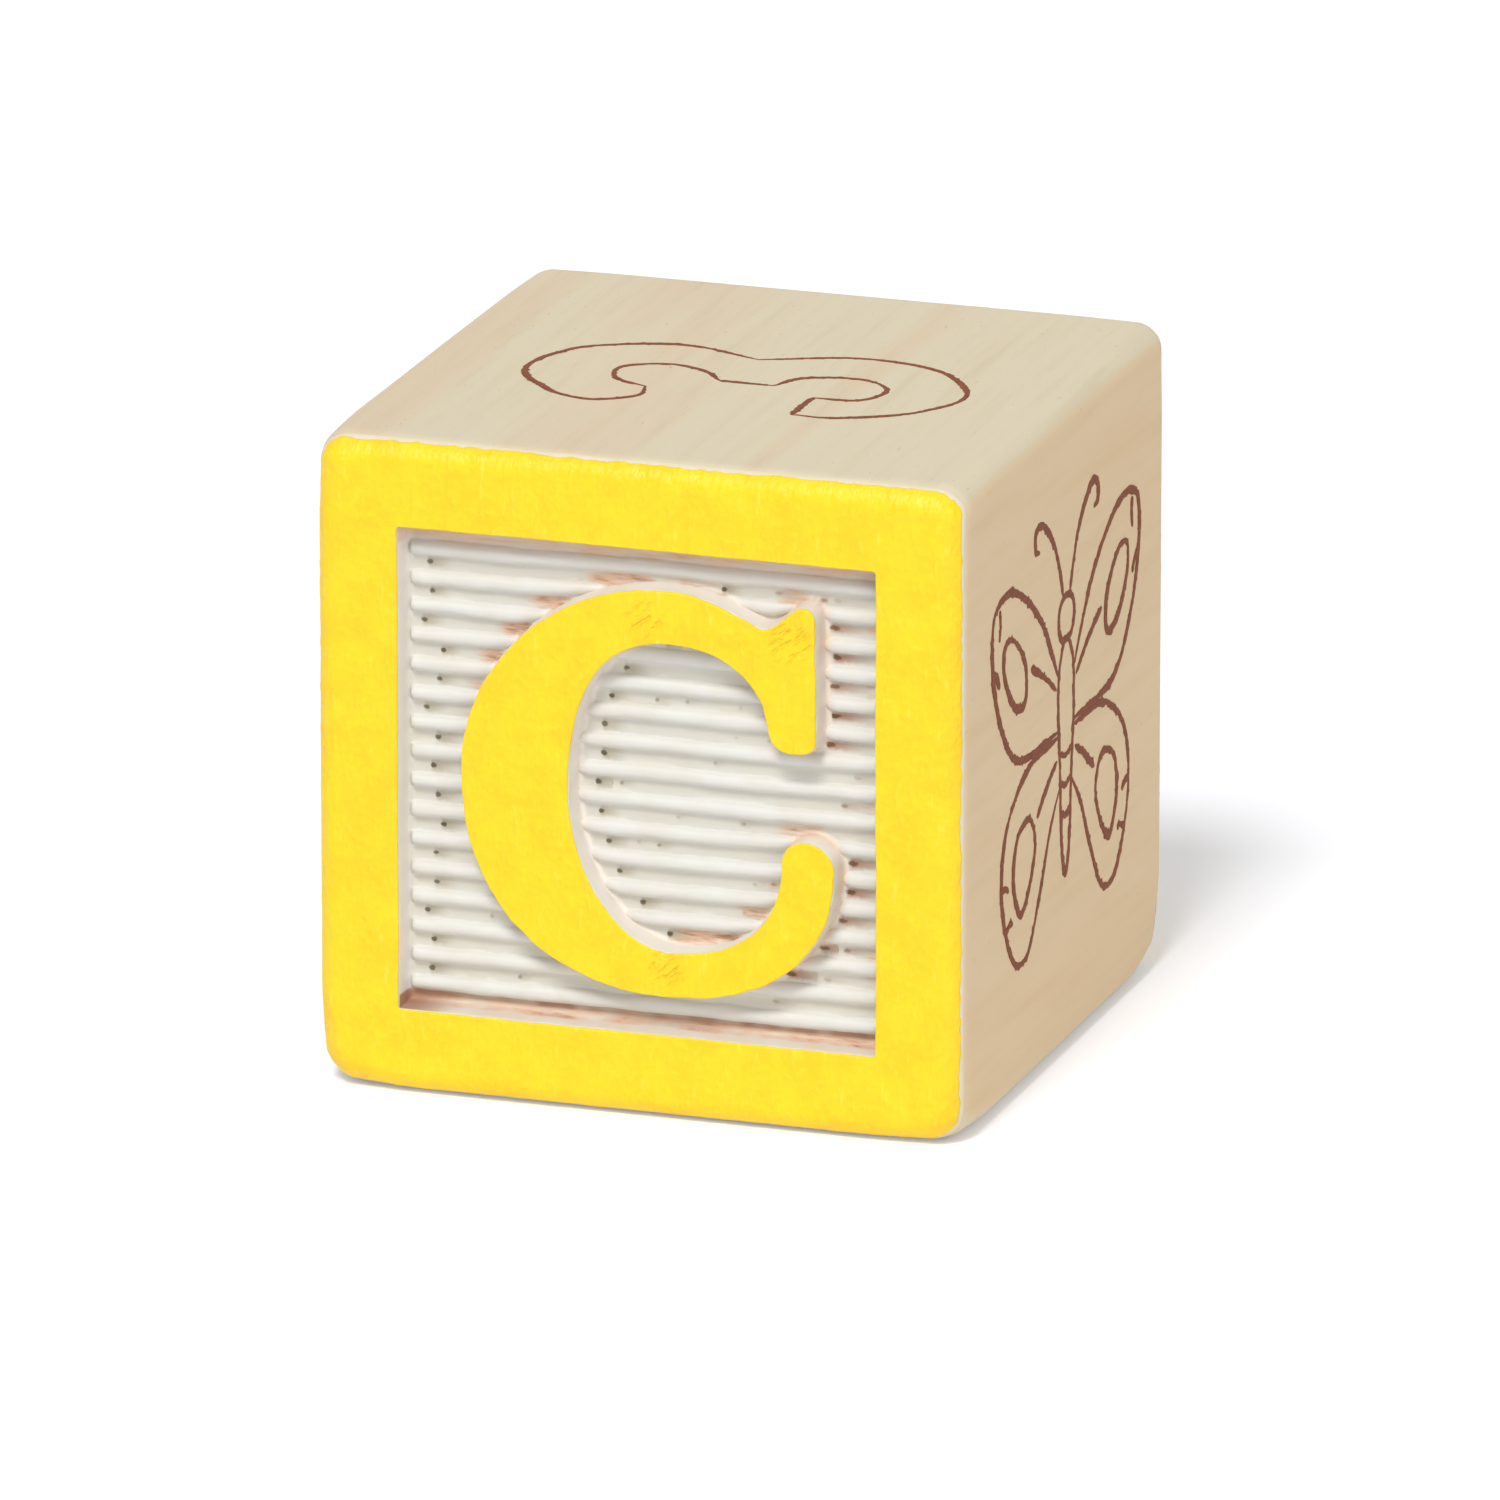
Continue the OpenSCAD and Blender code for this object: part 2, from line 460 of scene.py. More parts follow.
def ground_sheet(side):
    """The white coat as a closed body: its shaped front and a plain underside on the wood."""
    across = ground_lines(np.arange(-panel_half + 0.42, panel_half - 0.4, 0.1))
    up = ground_lines(rib_lines())
    flat = columns(*(part.ravel() for part in np.meshgrid(across, up)))
    solid = turned(columns(flat[:, 0], 0, flat[:, 1]), side)
    reach = ground_reach * (1 + 0.1 * noise(solid, 1.3, 71))
    border = np.abs(flat).max(1)
    thin = smooth(border, plan_flat + 0.8 * (mid - plan_flat), mid)
    lift = ground_coat * thinning(border, reach) * (1 - 0.8 * thin)
    top = skin(*frame_warp(flat, side).T, side, reach, lift)
    top[:, 1] += ground_depth(flat, side)
    rim = perimeter(len(up), len(across))
    start, count = len(top), len(rim)
    rings = []
    for share in (1, 0.8, 0.6, 0.4, 0.2, 0):
        place = flat[rim] * (plan_flat + (mid - plan_flat) * share) / mid
        rings.append(skin(*place.T, side, reach[rim], -skin_sink))
    mouth = flat[rim] * pocket_half / mid
    for depth in (0, press_depth):
        rings.append(columns(mouth[:, 0], depth - wood_face, mouth[:, 1]))
    points = np.vstack([top, *rings])
    faces = grid_quads(len(up), len(across))
    faces += grid_quads(len(rings), count, ring=True, start=start)
    faces += band(rim, start + np.arange(count))
    faces += end_faces(len(points), count)[1:]
    return new_mesh("ground", turned(points, side), faces)


def fill_outline(outline, inner_rings, spacing):
    """Triangles that fill an outline, with points on inner rings and on a grid. Returns the
    points, the triangles, how far inside each point lies, and the outline's point numbers."""
    rings = [grown(outline, -distance) for distance in inner_rings]
    low, high = outline.min(0), outline.max(0)
    # Every other row is shifted, so that the points stand in even triangles
    row_share = 0.866
    rows = np.arange(low[1], high[1], spacing * row_share)
    x, z = np.meshgrid(np.arange(low[0], high[0], spacing), rows)
    x = x + (np.arange(len(rows)) % 2)[:, None] * spacing / 2
    spots = columns(x.ravel(), z.ravel())
    spots = spots[distance_to(outline, spots) < -inner_rings[-1] - spacing * 0.6]
    points = np.vstack([outline, *rings, spots])
    loop = list(range(len(outline)))
    edges = [(i, (i + 1) % len(loop)) for i in loop]
    found = delaunay_2d_cdt([Vector(p) for p in points], edges, [loop], 1, 1e-6)
    plan = np.array([list(p) for p in found[0]])
    inward = np.maximum(-distance_to(outline, plan), 0)
    kept_as = {source: i for i, sources in enumerate(found[3]) for source in sources}
    return plan, [list(face) for face in found[2]], inward, [kept_as[i] for i in loop]


def letter_body(side):
    """White body of the raised letter, from the panel's floor to under its yellow coat."""
    top_y = -ground_face
    floor_y = press_depth - ground_face
    # How far the letter's foot flares out at each height
    levels = [
        (0.24, floor_y + 0.03), (0.24, floor_y - 0.004), (0.16, floor_y - 0.02),
        (0.1, floor_y - 0.06), (0.065, floor_y - 0.13), (0.045, floor_y - 0.25),
        (0.02, floor_y - 0.6), (0, top_y + 0.05), (-0.015, top_y + 0.015), (-0.05, top_y),
    ]
    rings = []
    for distance, y in levels:
        fine = noise_at(85, *(letter / 0.3).T, y * 3)
        rough = 0.012 * noise(letter, 0.5, 83) + 0.02 * fine
        ring = panel_warp(grown(letter, distance) + normals(letter) * rough[:, None], side)
        rings.append(columns(ring[:, 0], y, ring[:, 1]))
    points = np.vstack(rings)
    count = len(letter)
    faces = grid_quads(len(rings), count, ring=True) + end_faces(len(points), count)
    return new_mesh("letter_body", turned(points, side), faces)


def united(first, second):
    """One closed mesh from two that overlap."""
    body, other = (new_object("join", mesh) for mesh in (first, second))
    join = body.modifiers.new("join", "BOOLEAN")
    join.operation = "UNION"
    join.solver = "MANIFOLD"
    join.object = other
    evaluated = body.evaluated_get(bpy.context.evaluated_depsgraph_get())
    result = bpy.data.meshes.new_from_object(evaluated)
    for item in (body, other):
        bpy.data.objects.remove(item)
    return result


# Yellow coats

def paint_bumps(plan, side):
    """Height of the roller's texture in the yellow coat, which differs from side to side."""
    points = plan + side * 40
    seed = 95
    coarse = noise(points, 1.7, seed)
    medium = noise(points, 0.62, seed + 1)
    fine = noise(points, 0.28, seed + 2)
    slanted = points @ np.array([[0.8, -0.6], [0.6, 0.8]]) / np.array([0.9, 0.2])
    combed = np.abs(noise(slanted, 1, seed + 3)) * smooth(coarse, -0.2, 0.5)
    return 0.01 * coarse + 0.015 * medium + 0.009 * fine - 0.018 * combed - 0.036


def square_ring(half_size, count, corner):
    """Plan points round a square with count points on a side, from the lower left corner.
    Its corners have a radius, or are sharp for 0."""
    share = (np.arange(count) / count) * 2 - 1
    sides = [columns(share * half_size, -half_size)]
    for _ in range(3):
        x, y = sides[-1].T
        sides.append(columns(-y, x))
    points = np.vstack(sides)
    core = np.clip(points, corner - half_size, half_size - corner)
    out = points - core
    length = np.maximum(np.linalg.norm(out, axis=1), 1e-9)
    return core + out * np.minimum(1, corner / length)[:, None]


# Width over which the yellow coat's rim is rounded
lip_width = 0.1


def frame_coat(side):
    """The yellow coat on the frame, as a closed ring."""
    per_side = 230
    inner_edge = panel_half + 0.02
    inner_corner = 0.12
    lip_gaps = [0, 0.01, 0.03, 0.06, 0.1, 0.15]
    rings = [square_ring(inner_edge + gap, per_side, inner_corner + gap) for gap in lip_gaps]
    start, outline = rings[-1], square_ring(mid, per_side, 0)
    steps = np.linspace(0, 1, 26)[1:]
    rings += [start * (1 - step) + outline * step for step in steps]
    plan = np.vstack(rings)
    count = len(outline)
    lip = np.clip(np.repeat(lip_gaps + [1] * len(steps), count) / lip_width, 0, 1)
    border = np.abs(plan).max(1)
    edge = np.clip((mid - border) / 0.12, 0, 1)
    solid = turned(columns(plan[:, 0], 0, plan[:, 1]), side)
    reach = colour_reach * (1 + 0.1 * noise(solid, 1.7, 91) + 0.12 * noise(solid, 0.3, 92))
    bumps = paint_bumps(plan, side)
    thick = colour_coat * np.sqrt(1 - 0.9 * (1 - lip) ** 2) * (0.15 + 0.85 * quarter_round(edge))
    bead = 0.012 * window(border, mid - 0.9, mid - 0.3, mid - 0.25, mid)
    share = thinning(border, reach)
    base_lift = ground_coat * share
    lift = base_lift + np.maximum((thick + bumps * lip * edge + bead) * share, 0.006)
    warped = frame_warp(plan, side).T
    top = skin(*warped, side, reach, lift)
    base = skin(*warped, side, reach, base_lift)
    # The underside needs only some of the rings
    kept = [0, 5, 12, 16, 20, 24, len(rings) - 1]
    ring = np.arange(count)
    points = np.vstack([top, *(base[ring + row * count] for row in kept)])
    faces = grid_quads(len(rings), count, ring=True)
    faces += grid_quads(len(kept), count, ring=True, start=len(top))
    for row, base_row in ((0, 0), (len(rings) - 1, len(kept) - 1)):
        faces += band(ring + row * count, ring + len(top) + base_row * count)
    return new_mesh("frame_coat", turned(points, side), faces)


def letter_coat(side):
    """The yellow coat on the letter's flat top."""
    rough = 0.022 * noise(letter, 0.55, 101) + 0.012 * noise(letter, 0.2, 102)
    outline = grown(letter, -0.01) + normals(letter) * rough[:, None]
    plan, faces, inward, rim = fill_outline(outline, [0.012, 0.035, 0.07, 0.12], 0.14)
    lip = np.clip(inward / lip_width, 0, 1)
    bumps = paint_bumps(plan, side)
    rise = colour_coat * (0.2 + 0.8 * quarter_round(lip)) + bumps * lip
    x, z = panel_warp(plan, side).T
    top = columns(x, -ground_face - rise, z)
    base = columns(x, -ground_face + 0.002, z)
    faces += [[i + len(top) for i in face[::-1]] for face in faces]
    faces += band(rim, np.array(rim) + len(top))
    return new_mesh("letter_coat", turned(np.vstack([top, base]), side), faces)


# Bare wood

def wood_lines(half_size):
    """Grid lines along an axis of the wood, close at its edges, with one at a pocket's wall."""
    inner = np.linspace(0, pocket_half, 32)[:-1]
    bend = np.linspace(half_size - 1.3, half_size, 11)
    positive = np.concatenate([inner, [pocket_half, 9.9], bend])
    return np.unique(np.round(np.concatenate([-positive, positive]), 6))


def wood_shell():
    """The soft cube of wood with a plain pocket in its front and back."""
    half_sizes = np.array([side_face, wood_face, side_face])
    lines = [wood_lines(half) for half in half_sizes]
    floor = wood_face - press_depth
    reach = pocket_half + 1e-5
    numbers, points, faces = {}, [], []

    def number(place):
        key = tuple(np.round(place, 5))
        if key not in numbers:
            numbers[key] = len(points)
            points.append(key)
        return numbers[key]

    def add_face(axis, depth, across, up):
        """A face at a depth along an axis, over two stretches: each an axis and its ends."""
        u, a, b = across
        v, c, d = up
        corners = []
        for p, q in ((a, c), (b, c), (b, d), (a, d)):
            place = [0, 0, 0]
            place[axis], place[u], place[v] = depth, p, q
            corners.append(number(place))
        faces.append(corners)

    for axis in range(3):
        u, v = [i for i in range(3) if i != axis]
        for end in (-1, 1):
            for a, b in zip(lines[u], lines[u][1:]):
                for c, d in zip(lines[v], lines[v][1:]):
                    in_pocket = axis == 1 and max(abs(a + b), abs(c + d)) / 2 < pocket_half
                    depth = floor if in_pocket else half_sizes[axis]
                    add_face(axis, end * depth, (u, a, b), (v, c, d))
    for end in (-1, 1):
        for u, v in ((2, 0), (0, 2)):
            inner = [p for p in lines[u] if abs(p) <= reach]
            for wall in (-pocket_half, pocket_half):
                for a, b in zip(inner, inner[1:]):
                    add_face(v, wall, (u, a, b), (1, end * wood_face, end * floor))
    flat = np.array(points)
    moved = rounded(flat, half_sizes)
    inside = np.abs(flat[:, [0, 2]]).max(1) <= reach
    moved[inside] = flat[inside]
    wave = 0.012 * noise(flat, 4.3, 5) + 0.004 * noise(flat, 1.1, 6)
    painted = np.abs(moved[:, 1]) > wood_face - 0.7
    sink = np.where(painted, 0, 0.012 + wave)[:, None]
    moved -= sink * flat / np.abs(flat).max(1)[:, None]
    return new_mesh("wood_body", moved, faces)


# Ink lines

ink_rise = 0.008
ink_sink = 0.03
# Each line of a drawing lies this much over the one before, so that none share a surface
ink_step = 0.0004
ink_point_gap = 0.07


def on_face(axis, end):
    """A function that lays a plan on the side of the block at one end of the X or Z axis."""
    def place(plan, lift):
        parts = [end * plan[:, 0], plan[:, 1]]
        parts.insert(axis, end * (side_face + lift))
        return columns(*parts)

    return place


def ribbon(path, width, closed, seed, face, rise):
    """A thin closed band of ink along a path, with uneven width and rough edges."""
    drift = noise(path, 1.3, seed)
    sides = []
    for number, sign in ((1, -1), (2, 1)):
        rough = noise(path, 0.12, seed + number) + noise(path, 0.31, seed + number + 4)
        burr = np.maximum(noise(path, 0.17, seed + number + 6) - 0.4, 0)
        sides.append(sign * width / 2 * (1 + 0.28 * drift + 0.18 * rough + 1.1 * burr))
    if not closed:
        along = np.linspace(0, 1, len(path))
        taper = np.minimum(1, 0.35 + 8 * np.minimum(along, 1 - along))
        sides = [side * taper for side in sides]
    # Half of the band's section: share of the width, and height over the wood
    half = [(1, -ink_sink), (1, rise / 3), (0.6, rise)]
    rows = []
    for side, section in ((sides[0], half), (sides[1], half[::-1])):
        moved = normals(path, closed) * side[:, None]
        for share, height in section:
            rows.append(face(path + moved * share, height))
    points = np.stack(rows, 1).reshape(-1, 3)
    faces = grid_quads(len(path), len(rows), ring=True, loop=closed)
    if not closed:
        faces += end_faces(len(points), len(rows))
    return points, faces


def ink_drawing(name, strokes, width, face, seed):
    """One piece of ink from several strokes: each is a list of points and if it is closed."""
    points, faces, start = [], [], 0
    for number, (path, closed) in enumerate(strokes):
        line = spline(path, ink_point_gap, closed)
        rise = ink_rise + ink_step * number
        some, joined = ribbon(line, width, closed, seed + 10 * number, face, rise)
        points.append(some)
        faces += [[i + start for i in corners] for corners in joined]
        start += len(some)
    return new_mesh(name, np.vstack(points), faces)


# Outline of the number on the wood, in millimetres from the face's middle, X to the right
# and Y to the back. Each run ends at a corner, where the next one starts.
number_runs = [
    [(-4.23, -2.14), (-4.75, -1.1), (-4.44, -0.16), (-2.98, 0.45), (-1.5, -0.1), (-0.62, -1.1)],
    [(0.4, -1.13), (1.4, -1.14)],
    [(1.61, -0.99), (2.23, 0.16), (3.9, 0.72), (5.15, 0.36), (5.77, -0.68), (5.15, -2.03),
     (3.42, -2.24)],
    [(3.4, -3.4), (3.38, -4.64)],
    [(5.15, -4.53), (7.65, -2.97), (8.79, -0.26), (6.81, 2.66), (3.48, 3.43), (-0.16, 2.07)],
    [(-3.39, 3.1), (-6.5, 2), (-7.7, 0.4), (-8.08, -1.3), (-7.75, -2.6), (-6.8, -3.7),
     (-5.68, -4.7), (-4.23, -5.01), (-2.87, -4.01), (-2.98, -2.72)],
]


def number_strokes():
    runs_before = number_runs[-1:] + number_runs
    return [([before[-1], *run], False) for before, run in zip(runs_before, number_runs)]


def mirrored(path):
    """A path with its left and right exchanged."""
    return [(-x, y) for x, y in path]


def whole(half):
    """A closed outline from its right half, which starts and ends on the middle line."""
    return half + mirrored(half[-2:0:-1])


def butterfly():
    """A generic picture of a butterfly for the sides, in millimetres from the face's middle."""
    body = whole([(0, 3.6), (0.75, 2.8), (0.95, 1.2), (0.7, -1.5), (0.45, -4.4), (0, -5.6)])
    head = whole([(0, 5.3), (0.75, 5), (0.95, 4.3), (0.6, 3.7), (0, 3.6)])
    feeler = [(0.35, 5.2), (1.3, 7.3), (2.8, 8.7), (3.7, 8.7), (3.8, 8), (3.3, 7.8)]
    upper_wing = [(0.85, 2.2), (3.2, 5.2), (6.3, 7.1), (8.6, 6.9), (8.9, 4.8), (7.8, 2.2),
                  (5.6, 0.4), (0.9, 0.2)]
    lower_wing = [(0.9, 0), (4.6, -0.2), (7.2, -1.9), (7.7, -4.6), (6.3, -7.2), (4.6, -7.4),
                  (3.2, -5.6), (1.9, -3.4), (0.7, -2)]
    spots = [
        [(5, 4), (6.4, 5.3), (7.5, 5.2), (7.4, 4), (6.3, 2.7), (5, 2.5)],
        [(4.4, -2.2), (5.9, -2.6), (6.3, -4.2), (5.5, -5.6), (4.5, -5), (3.7, -3.4)],
    ]
    veins = [[(1.2, 1.9), (2.8, 2.9), (4.3, 3.6)], [(1.1, -0.9), (2.2, -1.5), (3.5, -2.4)]]
    edge_marks = [
        [(8.05, 6.9), (8, 6.3), (8.1, 5.7)],
        [(8.9, 4.7), (8.4, 4.4), (8.1, 3.9)],
        [(7.75, -4), (7.2, -4.1), (6.9, -4.3)],
        [(7.2, -5.8), (6.7, -5.6), (6.4, -5.7)],
    ]
    strokes = [(body, True), (head, True)]
    ring_sag = 0.2
    for level in (-0.75, -1.9, -3.1):
        half = 0.75 + 0.09 * level
        strokes.append(([(-half, level), (0, level - ring_sag), (half, level)], False))
    for shape in (feeler, upper_wing, lower_wing, *spots, *veins, *edge_marks):
        closed = shape in spots
        strokes += [(shape, closed), (mirrored(shape), closed)]
    return strokes


# Materials

class Nodes:
    """Adds nodes to a tree and links them in few words."""

    def __init__(self, owner):
        owner.use_nodes = True
        self.tree = owner.node_tree

    def add(self, kind, **inputs):
        node = self.tree.nodes.new(kind)
        for name, value in inputs.items():
            self.set(node.inputs[name], value)
        return node

    def set(self, socket, value):
        """Links a socket to another one, or gives it a constant."""
        if isinstance(value, bpy.types.NodeSocket):
            self.tree.links.new(value, socket)
        else:
            socket.default_value = value

    def math(self, operation, first, *others):
        """One operation on all the values given, from left to right."""
        for other in others:
            node = self.add("ShaderNodeMath")
            node.operation = operation
            self.set(node.inputs[0], first)
            self.set(node.inputs[1], other)
            first = node.outputs[0]
        return first

    def seen(self, unseen, seen):
        """One number for what the camera, a reflection or a clear thing shows, and another
        for all other light."""
        rays = self.add("ShaderNodeLightPath").outputs
        names = ("Is Camera Ray", "Is Glossy Ray", "Is Transmission Ray")
        direct = self.math("MAXIMUM", *(rays[name] for name in names))
        ends = {"To Min": unseen, "To Max": seen}
        return self.add("ShaderNodeMapRange", Value=direct, **ends).outputs["Result"]


class Finish(Nodes):
    """The nodes of one material."""

    def __init__(self, name):
        self.material = bpy.data.materials.new(name)
        super().__init__(self.material)
        self.shader = self.tree.nodes["Principled BSDF"]
        self.place = self.add("ShaderNodeTexCoord").outputs["Object"]

    def look(self, name, value):
        self.set(self.shader.inputs[name], value)

    def noise(self, size, detail=2, rough=0.5, turn=(0, 0, 0), distortion=0, place=None):
        """Noise in cells of the size given, in millimetres. The turn comes after that scale."""
        if place is None:
            place = self.place
        scale = [1 / (part * MM) for part in size]
        cells = self.add("ShaderNodeMapping", Vector=place, Rotation=turn, Scale=scale)
        node = self.add("ShaderNodeTexNoise", Vector=cells.outputs["Vector"], Scale=1.0,
                        Detail=detail, Roughness=rough, Distortion=distortion)
        return node.outputs["Fac"]

    def between(self, value, low, high, to_low=0.0, to_high=1.0):
        """A value's range moved to another, with a smooth ramp."""
        ends = {"From Min": low, "From Max": high, "To Min": to_low, "To Max": to_high}
        node = self.add("ShaderNodeMapRange", Value=value, **ends)
        node.interpolation_type = "SMOOTHSTEP"
        return node.outputs["Result"]

    def layered(self, colour, *layers):
        """A colour with others laid over it: each layer is its share and its colour. Colours
        are nodes, or numbers from 0 to 255."""
        for share, over in layers:
            node = self.add("ShaderNodeMix")
            node.data_type = "RGBA"
            self.set(node.inputs[0], share)
            for index, value in ((6, colour), (7, over)):
                self.set(node.inputs[index], linear(value) if isinstance(value, tuple) else value)
            colour = node.outputs[2]
        return colour

    def plus(self, *values):
        return self.math("ADD", *values)

    def times(self, *values):
        return self.math("MULTIPLY", *values)

    def nearby(self, centre, inner, outer):
        """1 close to a place on the block and 0 far from it, in millimetres."""
        node = self.add("ShaderNodeVectorMath")
        node.operation = "DISTANCE"
        self.set(node.inputs[0], self.place)
        self.set(node.inputs[1], [part * MM for part in centre])
        return self.between(node.outputs["Value"], inner * MM, outer * MM, 1.0, 0.0)

    def stored(self, name, output="Fac"):
        """A value that the mesh holds for each point."""
        node = self.add("ShaderNodeAttribute")
        node.attribute_name = name
        return node.outputs[output]

    def bump(self, height, strength, distance):
        node = self.add("ShaderNodeBump", Height=height, Strength=strength, Distance=distance * MM)
        self.look("Normal", node.outputs["Normal"])


def linear(colour):
    """The linear values of a colour that is given as a picture shows it, from 0 to 255."""
    parts = []
    for value in colour:
        share = value / 255
        parts.append(share / 12.92 if share <= 0.04045 else ((share + 0.055) / 1.055) ** 2.4)
    return (*parts, 1)


def wood_finish():
    """Pale close-grained wood, its grain along Y."""
    nodes = Finish("wood")
    # A small turn keeps the noise's own lattice from showing
    turn = (0.0, math.radians(4), math.radians(7))
    bands = nodes.noise((4.5, 60, 5.5), turn=turn, distortion=0.3)
    streaks = nodes.noise((0.55, 9, 0.6), detail=4, rough=0.6, turn=turn)
    fibres = nodes.noise((0.07, 1.3, 0.08), detail=3, rough=0.7, turn=turn)
    flecks = nodes.noise((0.12, 0.55, 0.14), detail=1, turn=turn)
    pale, warm, deep = (218, 206, 177), (218, 198, 167), (195, 176, 143)
    # The second colour on the next line is the painted shade tone of the left and right faces
    fleck, side = (176, 140, 104), (232, 192, 134)
    # Painted shade: the left and the right side get a warmer, darker tone than the top
    across = nodes.add("ShaderNodeSeparateXYZ", Vector=nodes.place).outputs["X"]
    outward = nodes.math("ABSOLUTE", across, 0)
    side_shade = nodes.between(outward, (mid - 0.25) * MM, (mid - 0.04) * MM, 0, 0.5)
    nodes.look("Base Color", nodes.layered(
        pale,
        (nodes.between(bands, 0.42, 0.66), warm),
        (nodes.between(streaks, 0.45, 0.85, 0, 0.3), deep),
        (nodes.between(fibres, 0.5, 0.85, 0, 0.2), deep),
        (nodes.between(flecks, 0.72, 0.82, 0, 0.45), fleck),
        (side_shade, side),
    ))
    nodes.look("Roughness", nodes.between(streaks, 0.2, 0.8, 0.52, 0.7))
    nodes.bump(nodes.plus(fibres, streaks), 0.5, 0.012)
    return nodes.material


def ink_finish():
    """Thin brown ink that lets a little of the grain show."""
    nodes = Finish("ink")
    grain = nodes.noise((0.09, 0.7, 0.1), detail=3, rough=0.7)
    patches = nodes.noise((0.8, 0.8, 0.8))
    dark, light, patch = (122, 66, 40), (148, 92, 64), (110, 56, 34)
    nodes.look("Base Color", nodes.layered(
        dark,
        (nodes.between(grain, 0.35, 0.75), light),
        (nodes.between(patches, 0.55, 0.8, 0, 0.6), patch),
    ))
    nodes.look("Roughness", nodes.between(grain, 0.2, 0.8, 0.5, 0.75))
    nodes.look("Specular IOR Level", 0.1)
    nodes.bump(grain, 0.4, 0.01)
    return nodes.material


# Places on the front letter where slanted scores mark the yellow paint, and how far they reach
score_places = [
    ((5.95, -mid, mid + 6.3), 0.4, 1.3),
    ((0.4, -mid, mid + 6.6), 0.3, 1.2),
    ((1.2, -mid, mid - 6.6), 0.3, 1.2),
]


def yellow_finish():
    """Rolled yellow paint with soft mottling and a few scores, whose darker colour is painted
    shade.
    """
    nodes = Finish("yellow_paint")
    mottle = nodes.noise((1.6, 1.6, 1.6), detail=3, rough=0.55)
    fine = nodes.noise((0.3, 0.3, 0.3))
    streaks = nodes.noise((0.22, 0.5, 0.9), turn=(0, math.radians(35), 0))
    slant = nodes.add("ShaderNodeMapping", Vector=nodes.place, Rotation=(0, math.radians(38), 0))
    lines = nodes.noise((0.75, 1.0, 0.17), place=slant.outputs["Vector"])
    worn = nodes.math("MAXIMUM", *(nodes.nearby(*place) for place in score_places))
    scores = nodes.times(nodes.between(lines, 0.5, 0.7), worn)
    main, pale, rich = (250, 213, 10), (254, 219, 36), (248, 205, 4)
    # The second colour on the next line is a darker yellow: painted shade in the scores
    streak, score_shade = (255, 232, 84), (242, 192, 4)
    nodes.look("Base Color", nodes.layered(
        main,
        (nodes.between(mottle, 0.35, 0.65), rich),
        (nodes.between(fine, 0.45, 0.75, 0, 0.5), pale),
        (nodes.between(streaks, 0.6, 0.8, 0, 0.4), streak),
        (nodes.times(scores, 0.5), score_shade),
    ))
    nodes.look("Roughness", nodes.between(fine, 0.3, 0.7, 0.42, 0.58))
    relief = nodes.plus(fine, mottle, streaks)
    nodes.bump(nodes.math("SUBTRACT", relief, nodes.times(scores, 0.9)), 1.0, 0.055)
    return nodes.material


def pit_shares(nodes, fine):
    """Shares of the tail and of the core of each pit, from its place beside a point."""
    parts = nodes.add("ShaderNodeSeparateXYZ", Vector=nodes.stored("pit", "Vector"))
    along, across, strength = parts.outputs
    wobble = nodes.times(nodes.math("SUBTRACT", fine, 0.5), 0.16)
    across = nodes.math("ABSOLUTE", nodes.plus(across, wobble), 0)
    start = nodes.between(along, -0.12, 0.02)
    fade = nodes.between(along, 0.0, 0.8, 0.9, 0.0)
    tail = nodes.times(start, fade, nodes.between(across, 0.05, 0.24, 1, 0))
    core_length, core_height = 0.1, 0.075
    long_part = nodes.math("POWER", nodes.math("DIVIDE", along, core_length), 2)
    high_part = nodes.math("POWER", nodes.math("DIVIDE", across, core_height), 2)
    core = nodes.between(nodes.plus(long_part, high_part), 0.35, 1.5, 1, 0)
    return nodes.times(tail, strength), nodes.times(core, strength)


def white_finish():
    """Thin white ground: cream in the grooves, bare wood where it missed, dark in the pits, with
    painted shade in the grooves and under the last rib, and painted light on the walls.
    """
    nodes = Finish("white_paint")
    fine = nodes.noise((0.25, 0.25, 0.25), detail=3, rough=0.6)
    soft = nodes.noise((1.4, 1.4, 1.0))
    streak = nodes.noise((1.1, 1.1, 0.14), detail=3, rough=0.6)
    white, cream, wall = (218, 216, 210), (214, 208, 196), (238, 229, 218)
    groove, blush, edge = (206, 202, 188), (221, 195, 169), (226, 212, 186)
    # The darker brown on the next line is bare wood, and under the last rib it also carries
    # painted shade
    bare, bare_and_shade_brown = (214, 174, 144), (158, 112, 84)
    warm = nodes.stored("warm")
    tail = nodes.layered((166, 156, 130), (warm, (158, 108, 82)))
    core = nodes.layered((84, 74, 50), (warm, (104, 70, 44)))
    missed = nodes.plus(nodes.stored("bare"), nodes.times(streak, 1.5))
    tail_share, core_share = pit_shares(nodes, fine)
    nodes.look("Base Color", nodes.layered(
        white,
        (nodes.between(soft, 0.35, 0.75, 0, 0.6), cream),
        # Painted shade, with the tint of thinner paint: the groove colour deep in the grooves and
        # at the side walls' feet
        (nodes.times(nodes.stored("deep"), 0.9), groove),
        # Painted light: the letter's walls and the panel's left wall are brightened
        (nodes.times(nodes.stored("wall"), 0.65), wall),
        (nodes.times(nodes.stored("blush"), nodes.between(soft, 0.3, 0.7, 0.4, 1)), blush),
        (nodes.between(missed, 1.1, 1.6, 0, 0.85), bare),
        (nodes.between(missed, 1.5, 1.85, 0, 0.8), bare_and_shade_brown),
        # A brown line under the last rib: bare wood with painted shade
        (nodes.times(nodes.stored("bare_and_shade_line"), 0.85), bare_and_shade_brown),
        (nodes.between(nodes.plus(nodes.stored("skirt"), fine), 0.6, 1.3, 0, 0.8), edge),
        (tail_share, tail),
        (core_share, core),
    ))
    nodes.look("Roughness", nodes.between(fine, 0.3, 0.7, 0.5, 0.66))
    nodes.bump(nodes.plus(fine, soft), 0.35, 0.02)
    return nodes.material


# Marks in the white ground, as places on the panel in millimetres

# Right of this place across, a mark is past the letter
past_letter = 5.0

